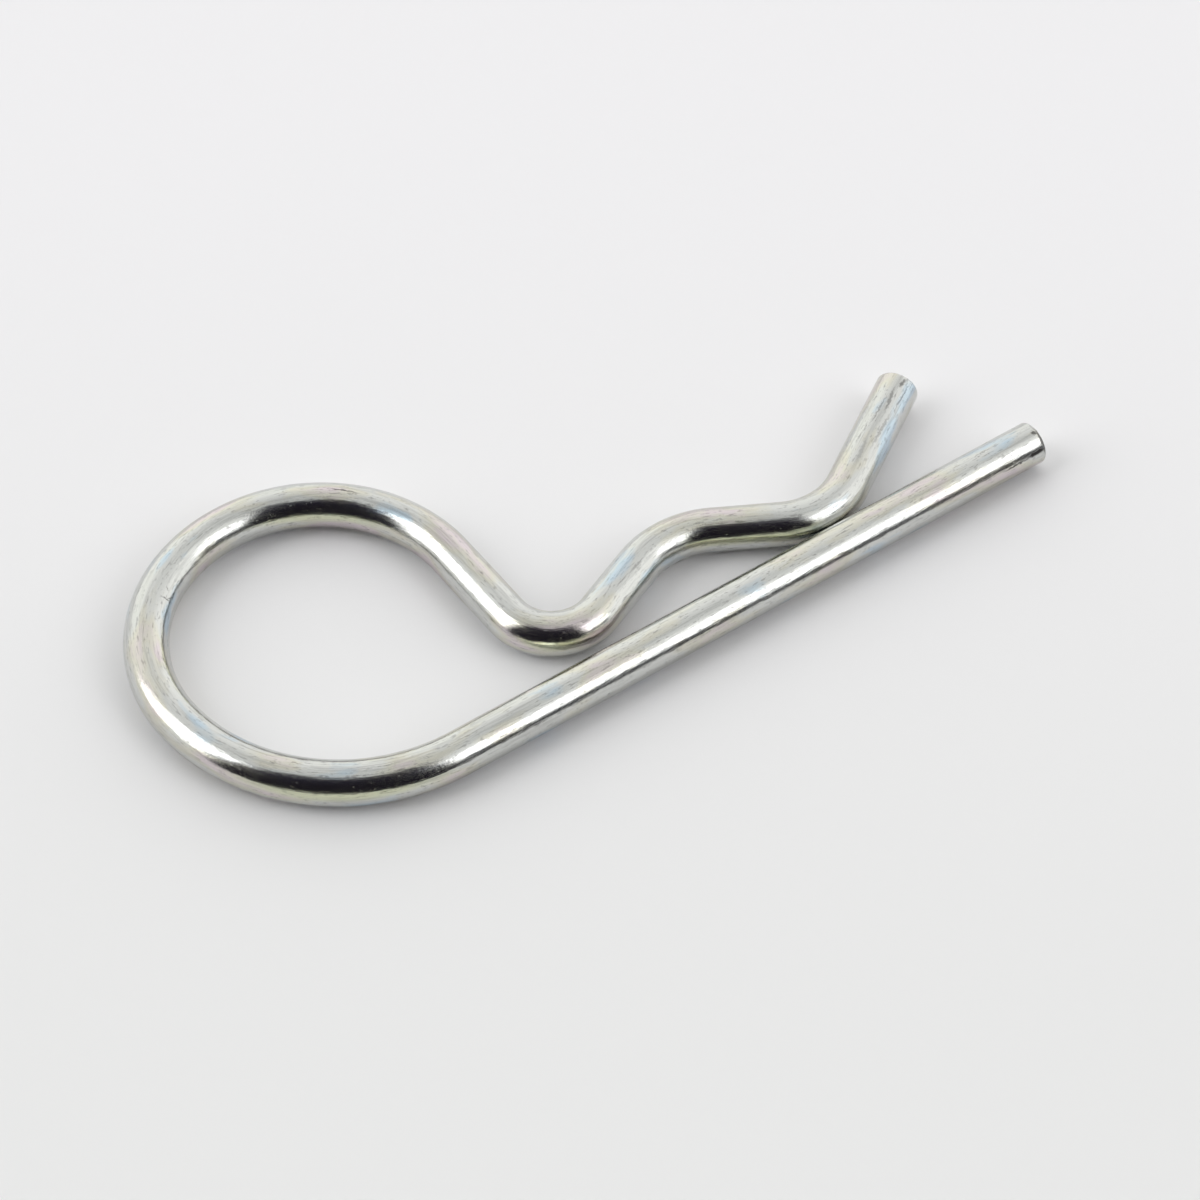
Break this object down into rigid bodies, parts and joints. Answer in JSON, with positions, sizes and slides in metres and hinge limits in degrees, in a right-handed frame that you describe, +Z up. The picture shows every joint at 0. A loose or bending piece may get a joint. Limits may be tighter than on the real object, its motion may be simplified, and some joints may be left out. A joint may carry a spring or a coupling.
{
  "type": "hairpin cotter pin",
  "caption": "Hairpin cotter of round wire: a straight leg, a finger loop, a hump between two valleys and a flared tip.",
  "frame": {"origin": "middle of the clip's outline, on the surface that it lies on", "axes": "+X along the straight leg, from the loop to the leg's tip; +Y from the straight leg towards the bent arm; +Z up out of the plane of the wire"},
  "size_m": [0.065, 0.0288, 0.0032],
  "materials": {
    "zinc_plated_steel": "bright zinc plate over drawn spring steel wire, with fine lengthwise draw lines"
  },
  "bodies": {
    "root": {"cotter_pin": "zinc_plated_steel"}
  },
  "joints": []
}
